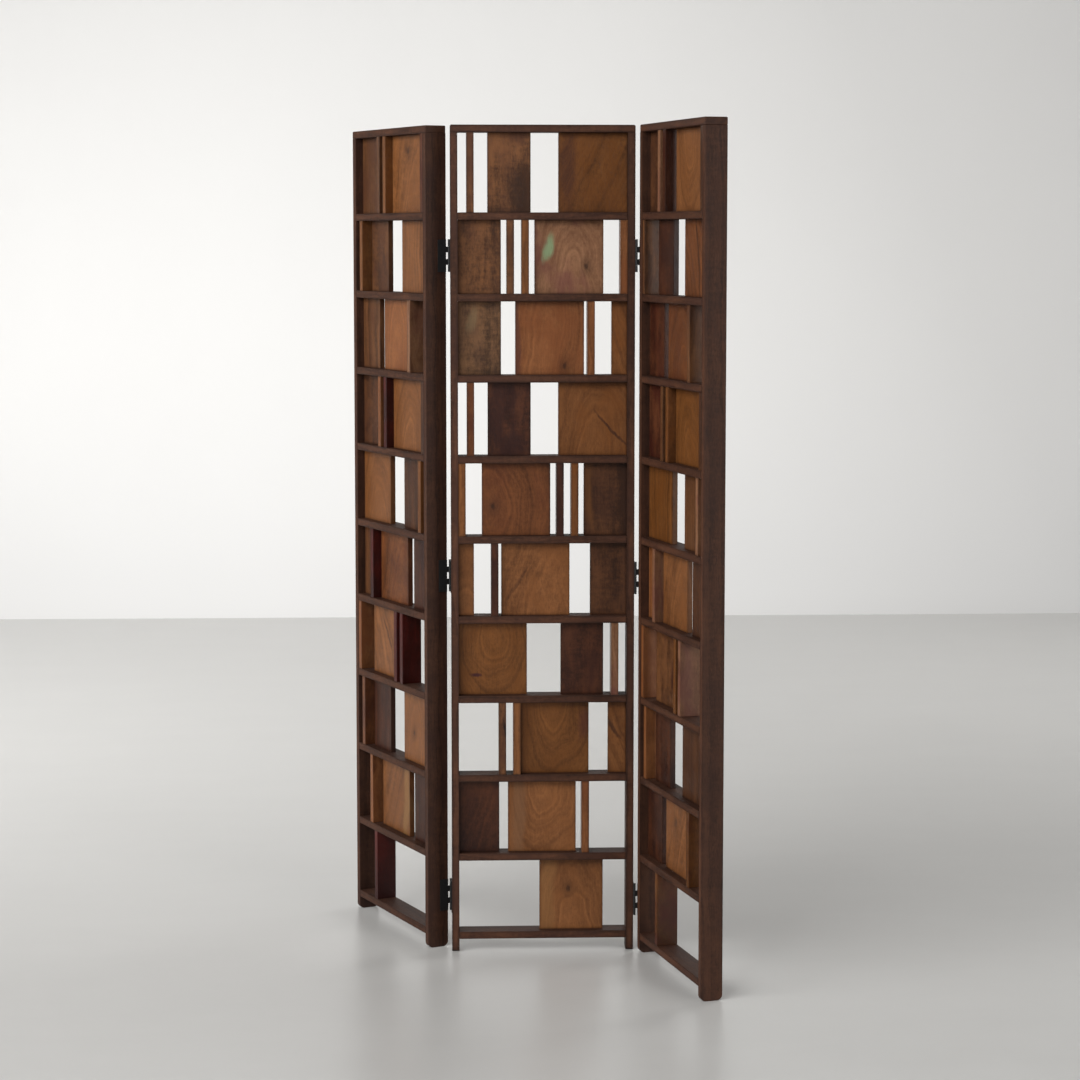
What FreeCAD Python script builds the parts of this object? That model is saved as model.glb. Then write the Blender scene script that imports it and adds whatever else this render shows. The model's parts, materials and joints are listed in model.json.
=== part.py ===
"""Folding room divider screen: three framed panels of wooden blocks, joined by butt hinges.

Millimetres, +Z up. The screen stands folded in a zigzag on its six stiles. The origin is the
middle of its overall box, on the floor. X runs along the middle panel, Y towards its back.

Every panel is drawn in its own frame first: X from its left end, Y from its front face, Z from
the floor. Its placement then turns it about its hinge pins to the angle it stands at.
"""
import FreeCAD, Part
import Sketcher
import os

os.makedirs("parts", exist_ok=True)
doc = FreeCAD.newDocument("FoldingScreen")

# ----------------------------------------------------------------------------- driving sizes
SIZES = {
    # whole screen
    "overall_height": 1800,
    "panel_width": 397,
    "frame_depth": 47.5,
    "left_fold_angle": 65,
    "right_fold_angle": 75.3,
    # frame
    "stile_width": 16,
    "rail_thickness": 16,
    "foot_clearance": 28.8,
    "foot_round": 12,
    "cap_round": 3.5,
    "top_row_extra": 11.9,
    # blocks and slats between the rails
    "block_thickness": 11.5,
    "slat": 16,
    "slat_setback": 0.75,
    "wide_block": 148.5,
    "trimmed_wide_block": 139,
    "medium_block": 93,
    "trimmed_medium_block": 88,
    "short_medium_block": 79,
    "broad_narrow_block": 39.5,
    "narrow_block": 33.6,
    # butt hinges
    "leaf_height": 69.6,
    "leaf_width": 19.5,
    "leaf_gauge": 1.3,
    "pin_diameter": 2.2,
    "pin_clearance": 0.05,
    "pin_reach": 6,
    "pin_head_height": 0.8,
    "side_knuckle": 12.6,
    "centre_knuckle": 13.8,
    "knuckle_gap": 0.2,
    "top_hinge_drop": 279,
    "middle_hinge_height": 825,
    "bottom_hinge_height": 115.5,
    # countersunk wood screws in the hinge leaves
    "screw_diameter": 3,
    "screw_head": 5.4,
    "screw_length": 12,
    "screw_tip_length": 3,
    "screw_tip_diameter": 0.6,
    "screw_inset": 9.8,
    "screw_clearance": 0.05,
    "recess_length": 3.2,
    "recess_width": 0.7,
    "recess_depth": 0.6,
}

# The rows of blocks: the pieces from left to right, then the clear space before each piece
# and after the last. The spaces share out the width that the pieces leave between the stiles.
ROWS = {
    "slat_medium_wide": ("slat medium_block wide_block", (18.8, 29.2, 59.5, 0)),
    "slat_medium_wide_spread": ("slat medium_block wide_block", (18.8, 15.2, 73.5, 0)),
    "edge_slat_medium_wide": ("slat medium_block wide_block", (0, 40.5, 67, 0)),
    "medium_two_slats_wide": (
        "medium_block slat slat wide_block slat", (0, 11.9, 15.9, 12.4, 35.3, 0)),
    "medium_two_slats_close": (
        "medium_block slat slat wide_block slat", (0, 24.4, 16.2, 0.5, 34.4, 0)),
    "medium_two_slats_apart": (
        "medium_block slat slat wide_block slat", (0, 1.5, 16, 19.5, 38.5, 0)),
    "medium_wide_slat_narrow": (
        "medium_block wide_block slat narrow_block", (0, 30.7, 6.4, 36.8, 0)),
    "medium_wide_slat_shifted": (
        "medium_block wide_block slat narrow_block", (0, 25.5, 11.6, 36.8, 0)),
    "wide_medium_slat": ("wide_block medium_block slat", (0, 73.5, 16.3, 17.7)),
    "narrow_slat_wide_short": (
        "narrow_block slat wide_block short_medium_block", (0, 37, 6.3, 44.6, 0)),
    "narrow_slat_wide_medium": (
        "narrow_block slat wide_block medium_block", (0, 37, 6.3, 30.6, 0)),
    "slat_wide_two_slats_medium": (
        "slat wide_block slat slat medium_block", (0, 35, 12.5, 15.8, 12.2, 0)),
    "slat_wide_two_slats": ("slat wide_block slat slat", (0, 34, 0.5, 15.8, 118.2)),
    "slat_wide_two_slats_spread": ("slat wide_block slat slat", (0, 34.5, 5, 11.7, 117.3)),
    "two_slats_wide_broad": (
        "slat slat wide_block broad_narrow_block", (86.8, 15.7, 0.5, 42, 0)),
    "trimmed_medium_wide_slat": ("trimmed_medium_block wide_block slat", (0, 19, 12.3, 81.2)),
    "medium_wide_slat": ("medium_block wide_block slat", (0, 24.5, 21.5, 61.5)),
    "slat_wide_medium": ("slat wide_block medium_block", (61.7, 18.3, 27.5, 0)),
    "trimmed_wide": ("trimmed_wide_block", (176, 50)),
    "lone_slat": ("slat", (85, 264)),
    "lone_slat_inward": ("slat", (96, 253)),
}

# Each panel's rows, from the top down.
PANELS = {
    "left": (
        "medium_two_slats_close", "slat_medium_wide_spread", "medium_wide_slat_shifted",
        "medium_two_slats_close", "wide_medium_slat", "narrow_slat_wide_medium",
        "slat_wide_two_slats", "slat_medium_wide_spread", "slat_wide_medium", "lone_slat"),
    "middle": (
        "slat_medium_wide", "medium_two_slats_wide", "medium_wide_slat_narrow",
        "slat_medium_wide", "slat_wide_two_slats_medium", "narrow_slat_wide_short",
        "wide_medium_slat", "two_slats_wide_broad", "trimmed_medium_wide_slat",
        "trimmed_wide"),
    "right": (
        "medium_two_slats_apart", "edge_slat_medium_wide", "medium_wide_slat_shifted",
        "medium_two_slats_close", "wide_medium_slat", "narrow_slat_wide_medium",
        "slat_wide_two_slats_spread", "slat_medium_wide_spread", "medium_wide_slat",
        "lone_slat_inward"),
}
ROW_COUNT = len(PANELS["middle"])

# The end of each panel that carries hinge leaves, the face its pins stand off, and the
# knuckles it holds, counted from the bottom.
LEAVES = {
    "left_panel_leaves": ("left", "right", "back", (1, 3)),
    "middle_panel_left_leaves": ("middle", "left", "back", (0, 2, 4)),
    "middle_panel_right_leaves": ("middle", "right", "front", (0, 2, 4)),
    "right_panel_leaves": ("right", "left", "front", (1, 3)),
}

# ---------------------------------------------------------------- sizes that follow from them
LAYOUT = {
    "inner_width": "=Sizes.panel_width - 2 * Sizes.stile_width",
    "right_stile_start": "=Sizes.panel_width - Sizes.stile_width",
    "stile_height": "=Sizes.overall_height - Sizes.rail_thickness",
    "row_opening": (
        "=(Sizes.overall_height - Sizes.foot_clearance - Sizes.top_row_extra"
        f" - {ROW_COUNT + 1} * Sizes.rail_thickness) / {ROW_COUNT}"),
    "row_pitch": "=row_opening + Sizes.rail_thickness",
    "slat_depth": "=Sizes.frame_depth - 2 * Sizes.slat_setback",
    "knuckle_radius": "=Sizes.pin_diameter / 2 + Sizes.pin_clearance + Sizes.leaf_gauge",
    "end_knuckle": (
        "=(Sizes.leaf_height - Sizes.centre_knuckle - 2 * Sizes.side_knuckle"
        " - 4 * Sizes.knuckle_gap) / 2"),
    "screw_head_height": "=(Sizes.screw_head - Sizes.screw_diameter) / 2",
    "screw_spacing": "=Sizes.leaf_height / 2 - Sizes.screw_inset",
    # from a pin to the far end and the far face of the panel it turns
    "pin_to_end": "=Sizes.panel_width + knuckle_radius",
    "pin_to_face": "=Sizes.frame_depth + Sizes.pin_reach",
    # the side panels' corners, from the middle panel's left front corner
    "left_across": (
        "=-knuckle_radius - pin_to_end * cos(Sizes.left_fold_angle * 1deg)"
        " - pin_to_face * sin(Sizes.left_fold_angle * 1deg)"),
    "left_back": (
        "=pin_to_face + pin_to_end * sin(Sizes.left_fold_angle * 1deg)"
        " - pin_to_face * cos(Sizes.left_fold_angle * 1deg)"),
    "right_across": (
        "=pin_to_end + knuckle_radius * cos(Sizes.right_fold_angle * 1deg)"
        " + Sizes.pin_reach * sin(Sizes.right_fold_angle * 1deg)"),
    "right_back": (
        "=-Sizes.pin_reach - knuckle_radius * sin(Sizes.right_fold_angle * 1deg)"
        " + Sizes.pin_reach * cos(Sizes.right_fold_angle * 1deg)"),
    # the middle panel's corner, from the middle of the whole screen's box
    "middle_x": (
        "=-(left_across + right_across"
        " + Sizes.panel_width * cos(Sizes.right_fold_angle * 1deg)"
        " + Sizes.frame_depth * sin(Sizes.right_fold_angle * 1deg)) / 2"),
    "middle_y": (
        "=-(left_back + Sizes.frame_depth * cos(Sizes.left_fold_angle * 1deg)"
        " + right_back - Sizes.panel_width * sin(Sizes.right_fold_angle * 1deg)) / 2"),
}
PANEL_PLACES = {
    "left": (
        "Layout.middle_x + Layout.left_across", "Layout.middle_y + Layout.left_back",
        "-Sizes.left_fold_angle"),
    "middle": ("Layout.middle_x", "Layout.middle_y", "0"),
    "right": (
        "Layout.middle_x + Layout.right_across", "Layout.middle_y + Layout.right_back",
        "-Sizes.right_fold_angle"),
}
HINGE_HEIGHTS = {
    "bottom": "Sizes.bottom_hinge_height",
    "middle": "Sizes.middle_hinge_height",
    "top": "(Sizes.overall_height - Sizes.top_hinge_drop)",
}
KNUCKLE_HEIGHTS = (
    "Layout.end_knuckle", "Sizes.side_knuckle", "Sizes.centre_knuckle", "Sizes.side_knuckle",
    "Layout.end_knuckle")


def fill_sheet(name, cells):
    """A sheet with one aliased cell for each value."""
    sheet = doc.addObject("Spreadsheet::Sheet", name)
    for row, (alias, value) in enumerate(cells.items(), start=1):
        sheet.set(f"A{row}", alias.replace("_", " "))
        sheet.set(f"B{row}", str(value))
        sheet.setAlias(f"B{row}", alias)
    doc.recompute()


fill_sheet("Sizes", SIZES)
fill_sheet("Layout", LAYOUT)
nodes = []


# ------------------------------------------------------------------------------ basic shapes
def bind(item, values):
    for path, expression in values.items():
        item.setExpression(path, expression)
    return item


def box(name, size, place):
    length, width, height = size
    item = doc.addObject("Part::Box", name)
    bind(item, {"Length": length, "Width": width, "Height": height})
    return put(item, place)


def put(item, place, direction="up"):
    """Set a shape at a place, with its own axis up, or towards the panel's left or right."""
    turns = {"up": 0, "right": 90, "left": -90}
    item.Placement.Rotation = FreeCAD.Rotation(FreeCAD.Vector(0, 1, 0), turns[direction])
    x, y, z = place
    return bind(item, {"Placement.Base.x": x, "Placement.Base.y": y, "Placement.Base.z": z})


def cylinder(name, diameter, length, place, direction="up"):
    item = doc.addObject("Part::Cylinder", name)
    bind(item, {"Radius": f"({diameter}) / 2", "Height": length})
    return put(item, place, direction)


def cone(name, first, last, length, place, direction):
    item = doc.addObject("Part::Cone", name)
    bind(item, {"Radius1": f"({first}) / 2", "Radius2": f"({last}) / 2", "Height": length})
    return put(item, place, direction)


def group(name, items):
    item = doc.addObject("Part::Compound", name)
    item.Links = items
    return item


def fuse(name, items):
    item = doc.addObject("Part::MultiFuse", name)
    item.Shapes = items
    return item


def cut(name, base, tools):
    item = doc.addObject("Part::Cut", name)
    item.Base = base
    item.Tool = group(f"{name}_holes", tools)
    return item


def stand(item, label, panel):
    """Name a finished sub-part and place it where its panel stands."""
    x, y, turn = PANEL_PLACES[panel]
    item.Label = label
    item.Placement.Rotation = FreeCAD.Rotation(FreeCAD.Vector(0, 0, 1), 1)
    bind(item, {"Placement.Base.x": x, "Placement.Base.y": y, "Placement.Rotation.Angle": turn})
    nodes.append(item)


def board(name, start, underside, width, height, thickness="Sizes.frame_depth"):
    """A body padded back from a rectangle drawn on the panel's front plane."""
    body = doc.addObject("PartDesign::Body", name)
    plane = next(part for part in body.Origin.OriginFeatures if part.Role == "XZ_Plane")
    sketch = body.newObject("Sketcher::SketchObject", f"{name}_outline")
    sketch.AttachmentSupport = [(plane, "")]
    sketch.MapMode = "FlatFace"
    corners = [FreeCAD.Vector(x, y, 0) for x, y in ((5, 5), (15, 5), (15, 25), (5, 25))]
    for first, last in zip(corners, corners[1:] + corners[:1]):
        sketch.addGeometry(Part.LineSegment(first, last), False)
    for side in range(4):
        sketch.addConstraint(Sketcher.Constraint("Coincident", side, 2, (side + 1) % 4, 1))
        level = "Horizontal" if side % 2 == 0 else "Vertical"
        sketch.addConstraint(Sketcher.Constraint(level, side))
    spans = (
        (("DistanceX", -1, 1, 0, 1, 5), start), (("DistanceY", -1, 1, 0, 1, 5), underside),
        (("DistanceX", 0, 1, 0, 2, 10), width), (("DistanceY", 1, 1, 1, 2, 20), height))
    for constraint, expression in spans:
        number = sketch.addConstraint(Sketcher.Constraint(*constraint))
        sketch.setExpression(f"Constraints[{number}]", expression)
    pad = body.newObject("PartDesign::Pad", f"{name}_pad")
    pad.Profile = sketch
    pad.Reversed = True
    pad.setExpression("Length", thickness)
    doc.recompute()
    return body


def round_edges(body, radius, wanted):
    """Round the body's edges whose two ends both satisfy wanted."""
    pad = body.Tip
    chosen = []
    for number, edge in enumerate(pad.Shape.Edges, start=1):
        if wanted(edge):
            chosen.append(f"Edge{number}")
    fillet = body.newObject("PartDesign::Fillet", f"{body.Name}_round")
    fillet.Base = (pad, chosen)
    fillet.setExpression("Radius", radius)
    doc.recompute()


# -------------------------------------------------------------------------------------- frame
def rail_underside(level):
    """Height of a rail's underside, counted up from the bottom rail."""
    return f"Sizes.foot_clearance + {level} * Layout.row_pitch"


def edge_box(edge):
    bounds = edge.BoundBox
    return bounds.XLength, bounds.YLength, bounds.ZMin, bounds.ZMax


def crosses_foot(edge):
    across, deep, low, high = edge_box(edge)
    return high < 0.001 and deep < 0.001


def caps_an_end(edge):
    across, deep, low, high = edge_box(edge)
    return across < 0.001 and low > SIZES["overall_height"] - 0.001


def make_stile(panel, end):
    name = f"{panel}_panel_{end}_stile"
    start = "0" if end == "left" else "Layout.right_stile_start"
    body = board(f"{name}_board", start, "0", "Sizes.stile_width", "Layout.stile_height")
    round_edges(body, "Sizes.foot_round", crosses_foot)
    holes = screw_holes.get((panel, end))
    stand(cut(name, body, holes) if holes else body, name, panel)


def make_rails(panel):
    top = board(
        f"{panel}_top_board", "0", "Layout.stile_height", "Sizes.panel_width",
        "Sizes.rail_thickness")
    round_edges(top, "Sizes.cap_round", caps_an_end)
    stand(top, f"{panel}_panel_top_rail", panel)
    bottom = board(
        f"{panel}_bottom_board", "Sizes.stile_width", rail_underside(0), "Layout.inner_width",
        "Sizes.rail_thickness")
    stand(bottom, f"{panel}_panel_bottom_rail", panel)
    shelves = []
    for level in range(1, ROW_COUNT):
        shelves.append(box(
            f"{panel}_shelf_{level}",
            ("Layout.inner_width", "Sizes.frame_depth", "Sizes.rail_thickness"),
            ("Sizes.stile_width", "0", rail_underside(level))))
    stand(group(f"{panel}_shelves", shelves), f"{panel}_panel_shelf_rails", panel)


# ----------------------------------------------------------------------------- blocks and slats
def make_row(panel, number, row):
    """One row of upright blocks and slats, each held between two rails."""
    names, spaces = ROWS[row]
    kinds = [f"Sizes.{name}" for name in names.split()]
    level = ROW_COUNT - number
    height = "Layout.row_opening"
    if number == 1:
        height += " + Sizes.top_row_extra"
    pieces = []
    for place, kind in enumerate(kinds):
        share = sum(spaces[:place + 1]) / sum(spaces)
        before = " + ".join(["Sizes.stile_width"] + kinds[:place])
        spare = f"(Layout.inner_width - ({' + '.join(kinds)}))"
        depth = "Layout.slat_depth" if kind == "Sizes.slat" else "Sizes.block_thickness"
        pieces.append(box(
            f"{panel}_row_{number}_piece_{place + 1}", (kind, depth, height),
            (f"{before} + {share} * {spare}", f"(Sizes.frame_depth - {depth}) / 2",
             f"{rail_underside(level)} + Sizes.rail_thickness")))
    return group(f"{panel}_row_{number}", pieces)


# -------------------------------------------------------------------------------------- hinges
def screw_shapes(name, end, depth, height, extra):
    """Head, shank and tip of a screw driven into an end face; extra opens up its hole."""
    if end == "left":
        face, sign, direction = "-Sizes.leaf_gauge", "+", "right"
    else:
        face, sign, direction = "Sizes.panel_width + Sizes.leaf_gauge", "-", "left"
    shank = f"Sizes.screw_length - Sizes.screw_tip_length + {extra}"
    wide = f"Sizes.screw_diameter + 2 * {extra}"
    tip = f"Sizes.screw_tip_diameter + 2 * {extra}"
    return [
        cone(f"{name}_head", f"Sizes.screw_head + 2 * {extra}", wide,
             "Layout.screw_head_height", (face, depth, height), direction),
        cylinder(f"{name}_shank", wide, shank, (face, depth, height), direction),
        cone(f"{name}_tip", wide, tip, "Sizes.screw_tip_length",
             (f"{face} {sign} ({shank})", depth, height), direction)]


def screw_recess(name, end, depth, height):
    """The cross recess in a screw head."""
    face = "-Sizes.leaf_gauge"
    if end == "right":
        face = "Sizes.panel_width + Sizes.leaf_gauge - Sizes.recess_depth"
    arms = []
    for arm, (across, upward) in enumerate((
            ("Sizes.recess_length", "Sizes.recess_width"),
            ("Sizes.recess_width", "Sizes.recess_length"))):
        arms.append(box(
            f"{name}_recess_{arm}", ("Sizes.recess_depth", across, upward),
            (face, f"{depth} - {across} / 2", f"{height} - {upward} / 2")))
    return arms


def knuckle_base(hinge, knuckle):
    """Height of a knuckle's lower end."""
    below = " ".join(f"+ {height} + Sizes.knuckle_gap" for height in KNUCKLE_HEIGHTS[:knuckle])
    return f"{HINGE_HEIGHTS[hinge]} - Sizes.leaf_height / 2 {below}"


def make_leaves(label, panel, end, face, knuckles):
    """The three leaves and their screws on one end of a panel."""
    plate_start = "-Sizes.leaf_gauge" if end == "left" else "Sizes.panel_width"
    pin_across = "-Layout.knuckle_radius" if end == "left" else "Layout.pin_to_end"
    if face == "back":
        plate_depth = "Sizes.frame_depth - Sizes.leaf_width"
        tab_depth, pin_depth = "Sizes.frame_depth", "Layout.pin_to_face"
    else:
        plate_depth, tab_depth, pin_depth = "0", "-Sizes.pin_reach", "-Sizes.pin_reach"
    screw_depth = f"({plate_depth} + Sizes.leaf_width / 2)"
    metal, bores, holes, screws, recesses = [], [], [], [], []
    for hinge, middle in HINGE_HEIGHTS.items():
        name = f"{label}_{hinge}"
        foot = f"{middle} - Sizes.leaf_height / 2"
        metal.append(box(
            f"{name}_plate", ("Sizes.leaf_gauge", "Sizes.leaf_width", "Sizes.leaf_height"),
            (plate_start, plate_depth, foot)))
        for knuckle in knuckles:
            base, height = knuckle_base(hinge, knuckle), KNUCKLE_HEIGHTS[knuckle]
            metal.append(box(
                f"{name}_tab_{knuckle}", ("Sizes.leaf_gauge", "Sizes.pin_reach", height),
                (plate_start, tab_depth, base)))
            metal.append(cylinder(
                f"{name}_knuckle_{knuckle}", "2 * Layout.knuckle_radius", height,
                (pin_across, pin_depth, base)))
        bores.append(cylinder(
            f"{name}_bore", "Sizes.pin_diameter + 2 * Sizes.pin_clearance",
            "Sizes.leaf_height", (pin_across, pin_depth, foot)))
        for step in (-1, 0, 1):
            screw = f"{name}_screw_{step + 2}"
            height = f"({middle} + {step} * Layout.screw_spacing)"
            screws += screw_shapes(screw, end, screw_depth, height, "0")
            recesses += screw_recess(screw, end, screw_depth, height)
            holes += screw_shapes(f"{screw}_hole", end, screw_depth, height,
                                  "Sizes.screw_clearance")
    screw_holes[panel, end] = holes
    stand(cut(label, fuse(f"{label}_metal", metal), bores + holes), label, panel)
    screw_label = label.replace("leaves", "hinge_screws")
    stand(cut(screw_label, fuse(f"{screw_label}_bars", screws), recesses), screw_label, panel)


def make_pins(label, across, depth):
    """The three pins of a joint, each hanging in its knuckles by its head."""
    bars = []
    for hinge, middle in HINGE_HEIGHTS.items():
        bars.append(cylinder(
            f"{label}_{hinge}_bar", "Sizes.pin_diameter",
            "Sizes.leaf_height + Sizes.pin_head_height",
            (across, depth, f"{middle} - Sizes.leaf_height / 2")))
        bars.append(cylinder(
            f"{label}_{hinge}_head", "2 * Layout.knuckle_radius", "Sizes.pin_head_height",
            (across, depth, f"{middle} + Sizes.leaf_height / 2")))
    stand(fuse(label, bars), label, "middle")


screw_holes = {}
for label, (panel, end, face, knuckles) in LEAVES.items():
    make_leaves(label, panel, end, face, knuckles)
make_pins("left_hinge_pins", "-Layout.knuckle_radius", "Layout.pin_to_face")
make_pins("right_hinge_pins", "Layout.pin_to_end", "-Sizes.pin_reach")
for panel, rows in PANELS.items():
    make_stile(panel, "left")
    make_stile(panel, "right")
    make_rails(panel)
    for number, row in enumerate(rows, start=1):
        stand(make_row(panel, number, row), f"{panel}_panel_row_{number:02d}", panel)

# ------------------------------------------------------------------------------ check and save
doc.recompute()
for item in doc.Objects:
    if "Invalid" in item.State or "Error" in item.State:
        raise RuntimeError(f"{item.Label} failed: {item.State}")
for node in nodes:
    if node.Shape.isNull() or not node.Shape.isValid():
        raise RuntimeError(f"{node.Label} has no valid shape")
    node.Shape.exportStep(f"parts/{node.Label}.step")
print(f"{len(nodes)} sub-parts, {sum(len(node.Shape.Solids) for node in nodes)} solids")
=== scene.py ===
"""Looks of the folding screen: eased wooden boards, black hinges, studio floor, light and camera."""
import json
import math
import random

import bmesh
import bpy
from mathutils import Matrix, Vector


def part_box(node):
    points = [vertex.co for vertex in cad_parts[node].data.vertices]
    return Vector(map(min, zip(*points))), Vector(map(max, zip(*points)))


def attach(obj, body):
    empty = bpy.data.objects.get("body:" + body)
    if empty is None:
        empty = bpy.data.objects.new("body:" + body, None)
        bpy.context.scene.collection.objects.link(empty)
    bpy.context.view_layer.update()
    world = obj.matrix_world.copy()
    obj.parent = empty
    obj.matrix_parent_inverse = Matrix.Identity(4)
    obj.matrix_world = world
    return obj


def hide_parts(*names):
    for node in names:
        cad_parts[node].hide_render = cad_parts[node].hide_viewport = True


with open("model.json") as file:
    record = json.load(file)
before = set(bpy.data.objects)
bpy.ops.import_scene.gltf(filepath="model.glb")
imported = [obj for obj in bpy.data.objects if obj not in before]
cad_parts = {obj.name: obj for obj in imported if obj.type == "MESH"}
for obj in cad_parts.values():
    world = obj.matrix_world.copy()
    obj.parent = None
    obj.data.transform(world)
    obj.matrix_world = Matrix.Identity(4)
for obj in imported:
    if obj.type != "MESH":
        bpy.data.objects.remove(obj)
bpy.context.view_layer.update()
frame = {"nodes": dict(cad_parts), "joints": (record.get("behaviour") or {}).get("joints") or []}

# How far the sharp edges of the blocks and of the frame are rounded over, in metres.
BLOCK_EASE = 0.0008
FRAME_EASE = 0.0012
# Corners this close are one corner. Faces that meet flatter than the first angle are one face,
# and edges sharper than the second are rounded over.
SAME_CORNER = 1e-6
FLAT_ANGLE = math.radians(1)
SHARP_ANGLE = math.radians(40)
EASE_STEPS = 2
# How many looks the boards of one panel's frame share.
FRAME_LOOKS = 10
PAINT_CHART_WHITE = 255
UP = Vector((0, 0, 1))


# ------------------------------------------------------------------------------ shader helpers
def linear(colour):
    """A colour given as the 0 to 255 values of a paint chart, for a shader socket."""
    shares = [part / PAINT_CHART_WHITE for part in colour]
    return [s / 12.92 if s <= 0.04045 else ((s + 0.055) / 1.055) ** 2.4 for s in shares] + [1.0]


class Value:
    """A number that varies over a surface. Arithmetic on it adds Math nodes."""

    def __init__(self, finish, socket):
        self.finish = finish
        self.socket = socket

    def math(self, operation, *others):
        return self.finish.math(operation, self, *others)

    def __add__(self, other):
        return self.math("ADD", other)

    def __sub__(self, other):
        return self.math("SUBTRACT", other)

    def __rsub__(self, other):
        return self.finish.math("SUBTRACT", other, self)

    def __mul__(self, other):
        return self.math("MULTIPLY", other)

    def __truediv__(self, other):
        return self.math("DIVIDE", other)

    def __rtruediv__(self, other):
        return self.finish.math("DIVIDE", other, self)

    def __pow__(self, other):
        return self.math("POWER", other)

    __radd__ = __add__
    __rmul__ = __mul__


class Finish:
    """One material and the nodes that make it."""

    def __init__(self, name):
        self.material = bpy.data.materials.new(name)
        self.material.use_nodes = True
        self.tree = self.material.node_tree
        self.tree.nodes.clear()
        self.shader = self.node("ShaderNodeBsdfPrincipled")
        output = self.node("ShaderNodeOutputMaterial")
        self.tree.links.new(self.shader.outputs[0], output.inputs["Surface"])

    def node(self, kind, settings=None, inputs=None):
        """Any node: its settings first, then the values or links of its sockets."""
        made = self.tree.nodes.new(kind)
        for name, setting in (settings or {}).items():
            setattr(made, name, setting)
        for name, value in (inputs or {}).items():
            self.feed(made.inputs[name], value)
        return made

    def feed(self, socket, value):
        if isinstance(value, Value):
            value = value.socket
        if isinstance(value, bpy.types.NodeSocket):
            self.tree.links.new(value, socket)
        else:
            socket.default_value = value

    def value(self, made, output=0):
        return Value(self, made.outputs[output])

    def math(self, operation, *values):
        inputs = dict(enumerate(values))
        return self.value(self.node("ShaderNodeMath", {"operation": operation}, inputs))

    def steer(self, operation, first, second):
        """A Vector Math node on two vectors."""
        made = self.node("ShaderNodeVectorMath", {"operation": operation}, {0: first, 1: second})
        return made.outputs["Value" if operation == "DOT_PRODUCT" else "Vector"]

    def parts(self, vector):
        made = self.node("ShaderNodeSeparateXYZ", {}, {0: vector})
        return [self.value(made, part) for part in range(3)]

    def written(self, name, output="Vector"):
        """A value that the piece's own mesh holds for each of its boards."""
        made = self.node("ShaderNodeAttribute", {"attribute_name": name})
        return made.outputs[output]

    def noise(self, place, scale, detail, roughness=0.5):
        made = self.node("ShaderNodeTexNoise", {"noise_dimensions": "3D"}, {
            "Vector": place, "Scale": scale, "Detail": detail, "Roughness": roughness})
        return self.value(made)

    def bands(self, place, detail, roughness):
        """Uneven bands along one number."""
        made = self.node("ShaderNodeTexNoise", {"noise_dimensions": "1D"}, {
            "W": place, "Scale": 1.0, "Detail": detail, "Roughness": roughness})
        return self.value(made)

    def between(self, value, low, high):
        """0 below low, 1 above high, and a smooth climb from one to the other."""
        made = self.node("ShaderNodeMapRange", {"interpolation_type": "SMOOTHSTEP"}, {
            "Value": value, "From Min": low, "From Max": high})
        return self.value(made)

    def mix(self, share, first, second):
        """Two colours mixed. A Mix node keeps its colours at sockets 6 and 7, its result at 2."""
        made = self.node("ShaderNodeMix", {"data_type": "RGBA"}, {0: share, 6: first, 7: second})
        return made.outputs[2]

    def surface(self, **sockets):
        for name, value in sockets.items():
            self.feed(self.shader.inputs[name.replace("_", " ").title().replace("Ior", "IOR")], value)
        return self.material

    def bump(self, height, distance, strength):
        made = self.node("ShaderNodeBump", {}, {
            "Height": height, "Distance": distance, "Strength": strength})
        return made.outputs[0]


# -------------------------------------------------------------------------------- wood finish
KNOT_HALO = (50, 28, 16)
KNOT_EYE = (24, 14, 10)
PORE_TONE = (26, 14, 9)
# Painted shade: the dark tone the boards' edges take, standing in for the shadow where they meet the
# rails.
PAINTED_EDGE_SHADE = (22, 12, 9)


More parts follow.
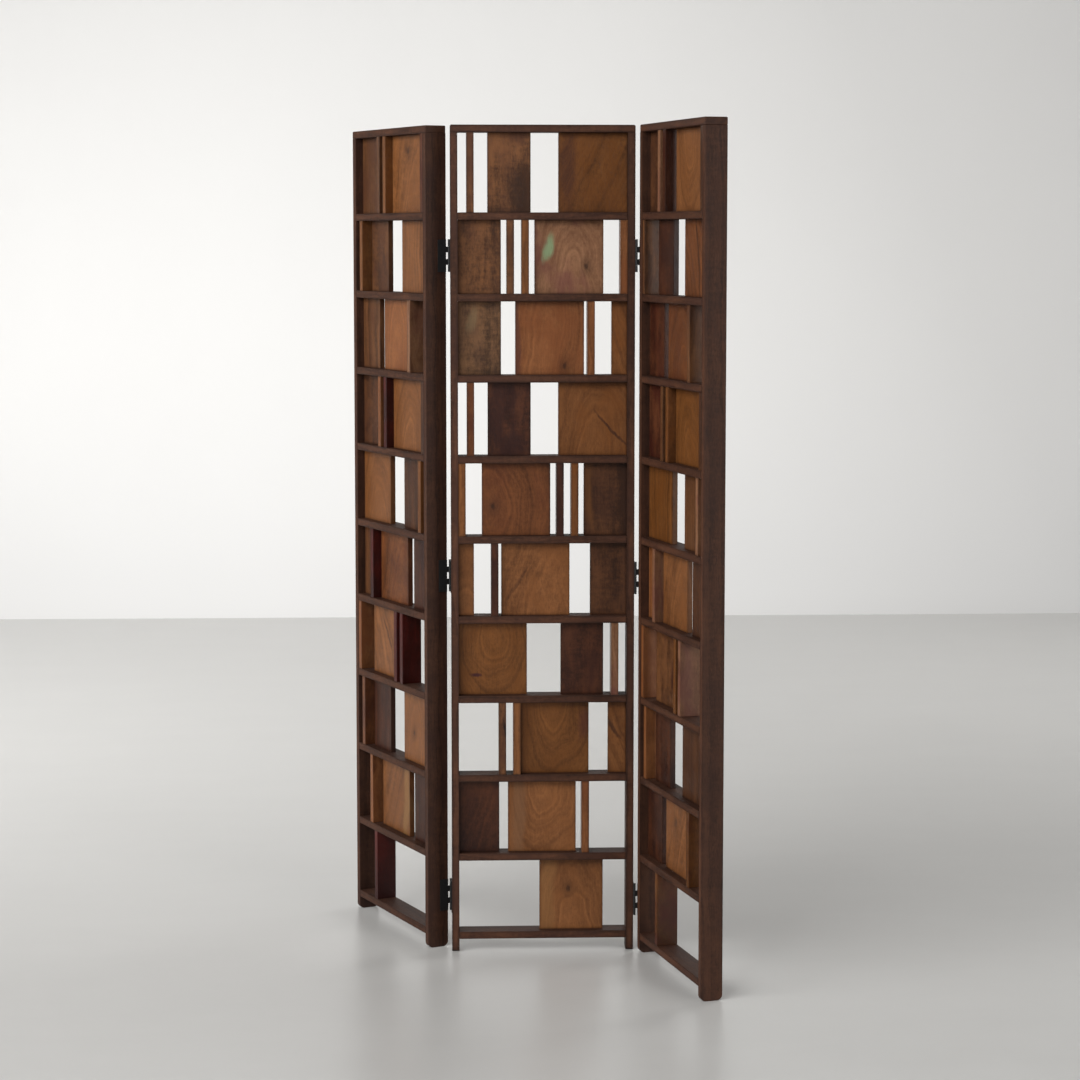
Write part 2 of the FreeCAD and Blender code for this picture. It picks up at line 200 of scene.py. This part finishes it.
def board_wood(name, fibre_depth, dullness, shine):
    """Lacquered boards sawn from a log. Each board's mesh holds its place in the log, its three
    tones, its knot, its streak and how it darkens from side to side."""
    wood = Finish(name)
    place = wood.written("grain_place")
    sown = wood.steer("ADD", place, wood.written("log_seed"))

    def grained(across_scale, along_scale, detail, roughness):
        """Noise with one scale across the board and another along it."""
        stretched = wood.steer("MULTIPLY", sown, (across_scale, across_scale, along_scale))
        return wood.noise(stretched, 1.0, detail, roughness)

    across, deep, along = wood.parts(place)
    half_width, half_depth, half_length = wood.parts(wood.written("board_half"))
    heart_across, heart_depth, heart_lean = wood.parts(wood.written("log_heart"))
    ring_width, mottle, slope = wood.parts(wood.written("log_figure"))
    knot_across, knot_along, knot_size = wood.parts(wood.written("log_knot"))
    streak_across, streak_width, streak_lean = wood.parts(wood.written("log_streak"))
    streak_strength = Value(wood, wood.written("streak_tone", "Alpha"))
    streak_along, streak_reach = wood.parts(wood.written("log_reach"))[:2]
    fade_across, fade_along, blush = wood.parts(wood.written("log_fade"))

    # growth rings round the log's heart, wandering a little, and parting round the knot
    drift = grained(11.0, 6.0, 2.0, 0.5) - 0.5
    ripple = grained(60.0, 18.0, 3.0, 0.55) - 0.5
    side = across + along * slope - heart_across + drift * 0.06
    below = deep + along * heart_lean + heart_depth + drift * 0.03
    from_heart = (side * side + below * below) ** 0.5
    knot_side = (across - knot_across) / knot_size
    knot_up = (along - knot_along) / (knot_size * 1.5)
    to_knot = (knot_side * knot_side + knot_up * knot_up + 0.0001) ** 0.5
    swell = (to_knot * -0.6).math("EXPONENT")
    rings = (from_heart + ripple * 0.011) / ring_width + swell * 2.5
    broad = wood.bands(rings * 0.4, 2.0, 0.6)
    fine = wood.bands(rings * 1.7 + 7.0, 3.0, 0.65)
    line = wood.between(wood.bands(rings * 0.8 + 31.0, 1.0, 0.4), 0.58, 0.7)

    # fibres and pores run along the board; cloudy patches and flecks cross them
    fibre = grained(800.0, 24.0, 3.0, 0.65)
    pores = grained(1700.0, 80.0, 1.0, 0.5)
    pores = wood.between(pores, 0.62, 0.74)
    cloud = grained(24.0, 12.0, 4.0, 0.6)
    patch = grained(15.0, 9.0, 3.0, 0.6)
    fleck = grained(230.0, 110.0, 4.0, 0.7)
    curl = grained(45.0, 140.0, 2.0, 0.5)

    tone = 0.52 + (broad - 0.5) * 1.25 + (fine - 0.5) * 0.45 + (fibre - 0.5) * 0.45
    tone = tone + (cloud - 0.5) * mottle * 2.4 + (curl - 0.5) * mottle * 0.9
    tone = tone + (fleck - 0.5) * (0.5 + mottle * 0.9)
    tone = tone + across * fade_across + along * fade_along - line * 0.12
    tone = wood.between(tone, -0.15, 1.15)
    colour = wood.mix(tone, wood.written("deep_tone", "Color"), wood.written("pale_tone", "Color"))
    blushed = wood.between(patch + (broad - 0.5) * 0.3, 0.44, 0.66) * blush
    colour = wood.mix(blushed, colour, wood.written("blush_tone", "Color"))

    # one streak of another tone, and the knot's dark eye
    beside = across + along * streak_lean - streak_across + drift * 0.05 + ripple * 0.012
    beyond = (along - streak_along) / streak_reach
    off_streak = ((beside / streak_width) ** 2.0 + beyond ** 2.0) ** 0.5
    near_streak = 1.0 - wood.between(off_streak + (fleck - 0.5) * 0.5, 0.3, 1.0)
    streaked = (near_streak * streak_strength * (0.55 + fine * 0.8)).math("MINIMUM", 1.0)
    colour = wood.mix(streaked, colour, wood.written("streak_tone", "Color"))
    worn = to_knot + (fleck - 0.5) * 0.9
    eye = 1.0 - wood.between(worn, 0.2, 0.9)
    halo = 1.0 - wood.between(worn, 0.5, 3.2)
    colour = wood.mix(halo * 0.38, colour, linear(KNOT_HALO))
    colour = wood.mix(eye * 0.62, colour, linear(KNOT_EYE))
    colour = wood.mix(pores * 0.3, colour, linear(PORE_TONE))

    # painted shade: every board darkens along its edges, standing in for the shadow where the boards
    # meet the rails and each other
    to_side = half_width - across.math("ABSOLUTE")
    to_end = half_length - along.math("ABSOLUTE")
    edge = 1.0 - wood.between(to_side.math("MINIMUM", to_end) + ripple * 0.002, 0.0, 0.006)
    colour = wood.mix(edge * 0.38, colour, linear(PAINTED_EDGE_SHADE))

    relief = fibre * 0.5 + fine * 0.3 - pores * 0.9 - line * 0.25
    roughness = dullness + (fibre - 0.5) * 0.16 + pores * 0.12 + (cloud - 0.5) * 0.16
    return wood.surface(
        base_color=colour, roughness=roughness, normal=wood.bump(relief, fibre_depth, 0.5),
        specular_ior_level=shine)


# ------------------------------------------------------------------------------- metal finish
def black_iron(name):
    """Matt black enamel over steel, with fine orange peel and scattered patches rubbed a little
    greyer.
    """
    metal = Finish(name)
    place = metal.node("ShaderNodeTexCoord").outputs["Object"]
    peel = metal.noise(place, 900.0, 3.0, 0.6)
    wear = metal.between(metal.noise(place, 160.0, 4.0, 0.65), 0.56, 0.74)
    colour = metal.mix(peel, linear((16, 17, 18)), linear((34, 35, 36)))
    colour = metal.mix(wear * 0.5, colour, linear((66, 64, 62)))
    return metal.surface(
        base_color=colour, roughness=0.46 + (peel - 0.5) * 0.25 - wear * 0.1,
        metallic=wear * 0.5, normal=metal.bump(peel, 0.0002, 0.6))


# ------------------------------------------------------------------------------ studio finishes
def pale_floor():
    """Polished pale concrete: cloudy, finely speckled, gently uneven, with a soft shine."""
    floor = Finish("pale_concrete")
    place = floor.node("ShaderNodeTexCoord").outputs["Object"]
    cloud = floor.noise(place, 1.1, 5.0, 0.6)
    trowel = floor.noise(floor.steer("MULTIPLY", place, (2.5, 6.0, 1.0)), 1.0, 4.0, 0.6)
    speck = floor.noise(place, 130.0, 2.0, 0.6)
    swell = floor.noise(place, 3.0, 0.0)
    tone = 0.5 + (cloud - 0.5) * 0.9 + (trowel - 0.5) * 0.5 + (speck - 0.5) * 0.15
    colour = floor.mix(tone, linear((193, 192, 189)), linear((208, 207, 204)))
    return floor.surface(
        base_color=colour, roughness=0.31 + (cloud - 0.5) * 0.14 + (trowel - 0.5) * 0.04,
        normal=floor.bump(swell, 0.001, 0.04))


def pale_wall():
    """Smooth pale plaster, faintly clouded."""
    wall = Finish("pale_plaster")
    place = wall.node("ShaderNodeTexCoord").outputs["Object"]
    cloud = wall.noise(place, 0.8, 3.0, 0.5)
    grit = wall.noise(place, 60.0, 3.0, 0.6)
    colour = wall.mix(cloud, linear((231, 230, 228)), linear((237, 236, 234)))
    return wall.surface(
        base_color=colour, roughness=0.9 - grit * 0.1, normal=wall.bump(grit, 0.0005, 0.2))


# --------------------------------------------------------------------------------- the boards
# The deep, pale and blushed tones of each kind of timber.
TONES = {
    "espresso": ((52, 30, 20), (92, 58, 40), (64, 39, 30)),
    "umber": ((62, 37, 21), (118, 76, 45), (74, 43, 30)),
    "walnut": ((50, 28, 16), (94, 58, 34), (56, 31, 23)),
    "plum": ((42, 20, 12), (80, 44, 26), (40, 17, 15)),
    "maroon": ((50, 22, 12), (94, 52, 30), (58, 18, 12)),
    "oxblood": ((50, 9, 7), (92, 24, 16), (34, 7, 7)),
    "chestnut": ((68, 36, 16), (126, 74, 39), (76, 36, 20)),
    "ember": ((66, 37, 13), (124, 74, 32), (70, 20, 11)),
    "ochre": ((74, 42, 15), (128, 79, 37), (106, 61, 22)),
    "russet": ((94, 53, 26), (152, 96, 56), (118, 66, 34)),
    "tan": ((88, 52, 26), (146, 94, 54), (120, 73, 37)),
    "rose": ((98, 63, 42), (158, 114, 82), (106, 60, 54)),
    "gold": ((86, 49, 21), (136, 86, 46), (118, 68, 28)),
    "smoke": ((56, 37, 23), (118, 83, 55), (62, 41, 33)),
}
# How a board lies in its log: how far the heart is across and below the face, how fast the
# face runs away from it, how wide the rings are, how cloudy the tone is, and how far the
# grain leans. Lengths are in metres and slopes in metres for each metre.
FIGURES = {
    "quiet": (0.30, 0.30, 0.01, 0.0040, 0.60, 0.00),
    "straight": (0.25, 0.10, 0.02, 0.0060, 0.30, 0.02),
    "leaning": (0.14, 0.05, 0.05, 0.0080, 0.35, 0.42),
    "rising": (0.13, 0.04, 0.08, 0.0100, 0.45, -0.46),
    "arched": (0.008, 0.040, 0.42, 0.0085, 0.25, 0.03),
    "steep": (-0.012, 0.020, 0.24, 0.0080, 0.25, -0.06),
    "dipped": (0.004, 0.036, -0.44, 0.0080, 0.20, 0.00),
    "ringed": (0.006, -0.022, 0.52, 0.0080, 0.20, 0.04),
    "swirled": (-0.050, 0.008, 0.50, 0.0090, 0.30, 0.10),
    "wavy": (0.055, 0.030, 0.30, 0.0110, 0.50, -0.22),
    "clouded": (0.20, 0.12, 0.10, 0.0120, 0.90, 0.06),
}
# The boards of each panel, row by row from the top and from left to right: tone, then figure.
ROWS = {
    "middle": (
        "umber straight, umber clouded, ochre rising",
        "umber clouded, umber straight, gold straight, rose arched, russet straight",
        "smoke clouded, russet steep, russet straight, gold leaning",
        "chestnut straight, plum clouded, gold arched",
        "gold straight, chestnut swirled, plum straight, gold straight, walnut clouded",
        "tan arched, plum straight, tan wavy, walnut clouded",
        "ochre ringed, plum clouded, rose straight",
        "umber wavy, tan straight, ochre dipped, gold leaning",
        "plum wavy, tan dipped, russet straight",
        "tan arched"),
    "left": (
        "umber straight, umber straight, gold straight, tan wavy, maroon straight",
        "gold straight, umber clouded, tan straight",
        "umber straight, russet steep, rose straight, gold straight",
        "walnut clouded, russet straight, oxblood straight, tan arched, walnut straight",
        "tan arched, walnut straight, gold straight",
        "umber straight, oxblood straight, chestnut wavy, plum straight",
        "russet straight, tan leaning, oxblood straight, oxblood straight",
        "chestnut straight, plum straight, tan steep",
        "russet straight, tan rising, plum straight",
        "oxblood straight"),
    "right": (
        "walnut clouded, rose straight, maroon straight, tan dipped, walnut straight",
        "umber straight, plum clouded, chestnut leaning",
        "maroon clouded, chestnut arched, umber straight, maroon straight",
        "maroon clouded, umber straight, gold straight, ochre arched, walnut straight",
        "ochre straight, umber straight, rose straight",
        "russet straight, rose straight, tan wavy, walnut straight",
        "russet straight, umber clouded, ochre straight, rose straight",
        "russet straight, plum clouded, walnut straight",
        "plum clouded, tan wavy, ember straight",
        "ember straight"),
}
# Knots, by panel, row and board, each counted from 1: how far across and up from the board's
# middle, and how big.
KNOTS = {
    ("middle", 2, 4): (0.0375, -0.020, 0.007),
    ("middle", 3, 2): (0.032, -0.060, 0.007),
    ("middle", 5, 2): (-0.050, -0.015, 0.008),
    ("middle", 10, 1): (-0.006, 0.012, 0.007),
    ("left", 1, 4): (0.010, 0.050, 0.007),
    ("left", 8, 3): (-0.020, -0.012, 0.006),
    ("right", 9, 2): (-0.012, 0.030, 0.006),
}
# Streaks: how far across, how wide, how far it leans, how far up its middle is and how far it
# reaches from there, its tone and its strength.
STREAKS = {
    ("middle", 1, 2): (0.022, 0.030, 0.10, -0.040, 0.08, (46, 28, 18), 0.7),
    ("middle", 1, 3): (-0.052, 0.026, 0.00, 0.010, 0.12, (62, 32, 22), 0.7),
    ("middle", 2, 4): (-0.056, 0.013, -0.24, 0.020, 0.040, (130, 150, 112), 0.95),
    ("middle", 3, 1): (-0.018, 0.014, -0.10, 0.040, 0.040, (118, 98, 70), 0.6),
    ("middle", 3, 2): (-0.071, 0.010, 0.00, 0.000, 0.20, (66, 34, 34), 0.6),
    ("middle", 4, 3): (0.018, 0.006, 0.95, -0.024, 0.060, (52, 28, 18), 0.75),
    ("middle", 5, 5): (-0.034, 0.018, 0.05, 0.020, 0.10, (112, 70, 34), 0.7),
    ("middle", 6, 3): (-0.030, 0.006, -0.60, -0.010, 0.06, (62, 34, 20), 0.5),
    ("middle", 7, 1): (-0.034, 0.017, 0.10, -0.036, 0.006, (54, 22, 28), 0.9),
    ("middle", 8, 1): (0.001, 0.004, 0.10, 0.010, 0.05, (22, 12, 10), 0.95),
    ("middle", 8, 3): (0.058, 0.016, -0.20, 0.030, 0.05, (74, 36, 32), 0.6),
    ("middle", 8, 4): (0.004, 0.007, 0.60, 0.020, 0.04, (44, 22, 14), 0.7),
    ("middle", 9, 2): (-0.050, 0.024, 0.00, 0.000, 0.20, (118, 84, 58), 0.6),
    ("middle", 10, 1): (-0.052, 0.022, 0.00, 0.000, 0.20, (140, 98, 58), 0.6),
    ("left", 7, 2): (0.010, 0.006, 0.50, 0.020, 0.06, (56, 32, 22), 0.7),
    ("left", 9, 2): (0.056, 0.018, 0.00, 0.000, 0.20, (140, 102, 60), 0.8),
    ("right", 2, 3): (0.006, 0.005, 0.12, 0.000, 0.20, (48, 28, 18), 0.8),
    ("right", 7, 2): (0.040, 0.028, 0.06, -0.010, 0.07, (50, 22, 22), 0.85),
    ("right", 7, 4): (0.000, 0.020, 0.30, 0.030, 0.03, (70, 40, 18), 0.6),
}
# Tone gained for each metre across and up, for boards that darken from side to side.
FADES = {
    ("middle", 1, 2): (-6.0, 6.0),
    ("middle", 1, 3): (0.0, 2.0),
    ("middle", 3, 1): (-7.0, 2.0),
    ("middle", 5, 5): (-7.0, 0.0),
    ("middle", 6, 4): (-5.0, 0.0),
    ("middle", 9, 1): (0.0, 5.0),
    ("middle", 9, 2): (2.0, 0.0),
    ("right", 7, 2): (-4.0, 0.0),
    ("right", 10, 1): (0.0, 3.0),
    ("left", 10, 1): (0.0, 5.0),
}
# A board without a knot or a streak has one far outside it.
NO_KNOT = (5.0, 5.0, 0.01)
NO_STREAK = (5.0, 0.01, 0.0, 0.0, 1.0, (0, 0, 0), 0.0)
NO_FADE = (0.0, 0.0)


# What the mesh of a piece holds for each corner: its place in its own board, and the looks of
# that board.
PLACED = ("grain_place", "board_half")
LOOKED = ("log_seed", "deep_tone", "pale_tone", "blush_tone", "streak_tone", "log_heart",
          "log_figure", "log_knot", "log_streak", "log_reach", "log_fade")


def panel_turns():
    """How far each panel stands turned from the middle one, in radians. The upper end of a
    fold's range brings its panel into line, so that end is the turn at rest."""
    turns = {"middle": 0.0}
    for joint in frame["joints"]:
        turns[joint["child"].split("_")[0]] = math.radians(joint["range_deg"][1])
    return turns


TURNS = panel_turns()


def panel_axes(panel):
    """The panel's own directions: along its width, and towards its back."""
    turn = TURNS[panel]
    return Vector((math.cos(turn), -math.sin(turn), 0)), Vector((math.sin(turn), math.cos(turn), 0))


def separate_boards(node):
    """The node's boards, each a list of corners and a list of faces that number them."""
    whole = bmesh.new()
    whole.from_mesh(frame["nodes"][node].data)
    bmesh.ops.remove_doubles(whole, verts=whole.verts, dist=SAME_CORNER)
    boards, seen = [], set()
    for start in whole.verts:
        if start in seen:
            continue
        board, edge = [], [start]
        seen.add(start)
        while edge:
            corner = edge.pop()
            board.append(corner)
            for link in corner.link_edges:
                other = link.other_vert(corner)
                if other not in seen:
                    seen.add(other)
                    edge.append(other)
        faces = dict.fromkeys(face for corner in board for face in corner.link_faces)
        boards.append((
            [corner.co.copy() for corner in board],
            [[board.index(corner) for corner in face.verts] for face in faces]))
    whole.free()
    return boards


def eased(corners, faces, ease):
    """A board with its flat faces whole and its sharp edges rounded over."""
    shape = bmesh.new()
    points = [shape.verts.new(corner) for corner in corners]
    for face in faces:
        shape.faces.new([points[number] for number in face])
    shape.normal_update()
    bmesh.ops.dissolve_limit(
        shape, angle_limit=FLAT_ANGLE, verts=shape.verts, edges=shape.edges)
    sharp = [edge for edge in shape.edges if edge.calc_face_angle(0) > SHARP_ANGLE]
    bmesh.ops.bevel(
        shape, geom=sharp, offset=ease, segments=EASE_STEPS, profile=0.5, affect="EDGES",
        clamp_overlap=True)
    bmesh.ops.triangulate(shape, faces=[face for face in shape.faces if len(face.verts) > 4])
    return shape


def wooden_piece(node, panel, looks, grain, ease, finish, body):
    """One piece for a node of boards. grain says which way the fibres run: up or across."""
    width_way, back_way = panel_axes(panel)
    ways = (width_way, back_way, UP)

    def order(board):
        """Upright boards go from left to right, and boards that lie across from the top down."""
        if grain == "up":
            return min(corner.dot(width_way) for corner in board[0])
        return -min(corner.z for corner in board[0])

    points, faces, written = [], [], {name: [] for name in PLACED + LOOKED}
    for number, (corners, outline) in enumerate(sorted(separate_boards(node), key=order)):
        look = looks[number % len(looks)]
        reach = [[corner.dot(way) for corner in corners] for way in ways]
        middle = [(min(side) + max(side)) / 2 for side in reach]
        half = [(max(side) - min(side)) / 2 for side in reach]
        if grain == "across":
            half.reverse()
        shape = eased(corners, outline, ease)
        start = len(points)
        shape.verts.index_update()
        for corner in shape.verts:
            points.append(corner.co.copy())
            local = [corner.co.dot(way) - centre for way, centre in zip(ways, middle)]
            if grain == "across":
                local.reverse()
            written["grain_place"].append(local)
            written["board_half"].append(half)
            for name in LOOKED:
                written[name].append(look[name])
        faces += [[start + corner.index for corner in face.verts] for face in shape.faces]
        shape.free()
    mesh = bpy.data.meshes.new(f"{node}_boards")
    mesh.from_pydata(points, [], faces)
    for name, values in written.items():
        kind = "FLOAT_COLOR" if name.endswith("tone") else "FLOAT_VECTOR"
        layer = mesh.attributes.new(name, kind, "POINT")
        field = "color" if kind == "FLOAT_COLOR" else "vector"
        layer.data.foreach_set(field, [part for value in values for part in value])
    mesh.materials.append(finish)
    piece = bpy.data.objects.new(f"{node}_boards", mesh)
    bpy.context.scene.collection.objects.link(piece)
    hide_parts(node)
    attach(piece, body)


# How far chance moves a board's shade, heart, lean, rings and blush.
SHADE_SPREAD = (0.93, 1.07)
SIZE_SPREAD = (0.85, 1.2)
LEAN_SPREAD = (0.9, 1.1)
BLUSH_SPREAD = (0.35, 0.8)
SEED_REACH = 40


def board_look(chance, tone, figure, knot=NO_KNOT, streak=NO_STREAK, fade=NO_FADE):
    """The values that a board's mesh holds, varied a little by chance."""
    deep, pale, blush = TONES[tone]
    across, depth, lean, width, mottle, slope = FIGURES[figure]
    *streak_line, streak_along, streak_reach, streak_tone, streak_strength = streak
    shade = chance.uniform(*SHADE_SPREAD)
    return {
        "log_seed": [chance.uniform(0, SEED_REACH) for axis in range(3)],
        "deep_tone": [part * shade for part in linear(deep)[:3]] + [1.0],
        "pale_tone": [part * shade for part in linear(pale)[:3]] + [1.0],
        "blush_tone": linear(blush),
        "streak_tone": linear(streak_tone)[:3] + [streak_strength],
        "log_heart": (
            across, depth * chance.uniform(*SIZE_SPREAD), lean * chance.uniform(*LEAN_SPREAD)),
        "log_figure": (width * chance.uniform(*SIZE_SPREAD), mottle, slope),
        "log_knot": knot,
        "log_streak": streak_line,
        "log_reach": (streak_along, streak_reach, 0.0),
        "log_fade": (*fade, chance.uniform(*BLUSH_SPREAD)),
    }


def make_panel(panel, frame_wood, block_wood):
    """A panel's frame and rows. The frame's boards share a few looks, shuffled for each piece."""
    chance = random.Random(f"{panel} panel")
    body = f"{panel}_panel"
    frame_look = [board_look(chance, "espresso", "quiet") for look in range(FRAME_LOOKS)]
    for name, grain in (
            ("left_stile", "up"), ("right_stile", "up"), ("top_rail", "across"),
            ("bottom_rail", "across"), ("shelf_rails", "across")):
        chance.shuffle(frame_look)
        wooden_piece(f"{panel}_panel_{name}", panel, list(frame_look), grain, FRAME_EASE,
                     frame_wood, body)
    for row, words in enumerate(ROWS[panel], start=1):
        looks = []
        for board, pair in enumerate(words.split(", "), start=1):
            tone, figure = pair.split()
            key = (panel, row, board)
            looks.append(board_look(
                chance, tone, figure, KNOTS.get(key, NO_KNOT), STREAKS.get(key, NO_STREAK),
                FADES.get(key, NO_FADE)))
        wooden_piece(f"{panel}_panel_row_{row:02d}", panel, looks, "up", BLOCK_EASE,
                     block_wood, body)


def finish_hinges(metal):
    """The hinges keep their own meshes and only take the metal."""
    for name, node in frame["nodes"].items():
        if name.endswith(("leaves", "hinge_screws", "hinge_pins")):
            node.data.materials.clear()
            node.data.materials.append(metal)


# -------------------------------------------------------------------------- studio and camera
def plain_sheet(name, corners, finish):
    mesh = bpy.data.meshes.new(name)
    mesh.from_pydata(corners, [], [range(len(corners))])
    mesh.materials.append(finish)
    sheet = bpy.data.objects.new(name, mesh)
    bpy.context.scene.collection.objects.link(sheet)


def soft_light(name, place, towards, width, height, power, fan=180):
    """A soft box. fan is how widely it throws its light, in degrees."""
    lamp = bpy.data.lights.new(name, "AREA")
    lamp.shape = "RECTANGLE"
    lamp.size, lamp.size_y = width, height
    lamp.energy = power
    lamp.spread = math.radians(fan)
    holder = bpy.data.objects.new(name, lamp)
    holder.location = place
    holder.rotation_euler = (Vector(towards) - Vector(place)).to_track_quat("-Z", "Y").to_euler()
    bpy.context.scene.collection.objects.link(holder)


def make_studio():
    """A pale floor that ends short of a pale wall, whose foot stands lower, out of sight."""
    floor_back, half_width, room_front = 5.0, 14.0, -14.0
    wall_back, wall_foot, wall_top = 6.3, -1.0, 9.0
    plain_sheet("studio_floor", [
        (-half_width, room_front, 0), (half_width, room_front, 0),
        (half_width, floor_back, 0), (-half_width, floor_back, 0)], pale_floor())
    plain_sheet("studio_wall", [
        (-half_width, wall_back, wall_foot), (half_width, wall_back, wall_foot),
        (half_width, wall_back, wall_top), (-half_width, wall_back, wall_top)], pale_wall())
    world = bpy.data.worlds.new("soft_room")
    world.use_nodes = True
    world.node_tree.nodes["Background"].inputs["Color"].default_value = (1.0, 0.99, 0.98, 1.0)
    world.node_tree.nodes["Background"].inputs["Strength"].default_value = 0.22
    bpy.context.scene.world = world
    soft_light("window_light", (-5.5, -3.5, 4.2), (0.3, 1.0, 0.9), 4.0, 4.0, 325)
    soft_light("wall_light", (-5.0, 0.0, 1.9), (-0.2, 5.6, 0.0), 3.0, 2.0, 84, 80)
    soft_light("front_light", (-2.2, -4.6, 4.2), (0.0, 0.0, 0.9), 2.0, 2.0, 105)
    soft_light("right_light", (3.6, -4.6, 1.7), (0.0, 0.0, 0.9), 2.0, 2.0, 80)
    soft_light("back_light", (4.0, 3.2, 2.8), (0.0, 0.0, 0.9), 2.0, 2.0, 70)
    bpy.context.scene.view_settings.view_transform = "Standard"


def place_camera():
    """At eye height in front of the middle panel, just left of its left edge, turned a little
    right and tipped slightly down."""
    past_left_edge, distance, eye_height = 0.0231, 5.5363, 1.56115
    turn_right, tip_down = 0.0389, 0.09
    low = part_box("middle_panel_top_rail")[0]
    eye = Vector((low.x - past_left_edge, low.y - distance, eye_height))
    camera = bpy.data.cameras.new("camera")
    camera.sensor_width = 36.0
    camera.lens = 85.92
    camera.shift_y = -0.0657
    holder = bpy.data.objects.new("camera", camera)
    holder.location = eye
    holder.rotation_euler = Vector((turn_right, 0.9992, -tip_down)).to_track_quat("-Z", "Y").to_euler()
    bpy.context.scene.collection.objects.link(holder)
    bpy.context.scene.camera = holder


frame_wood = board_wood("espresso_frame_wood", fibre_depth=0.0004, dullness=0.60, shine=0.22)
block_wood = board_wood("mixed_block_wood", fibre_depth=0.0004, dullness=0.42, shine=0.26)
for panel in ROWS:
    make_panel(panel, frame_wood, block_wood)
finish_hinges(black_iron("black_enamel"))
make_studio()
place_camera()
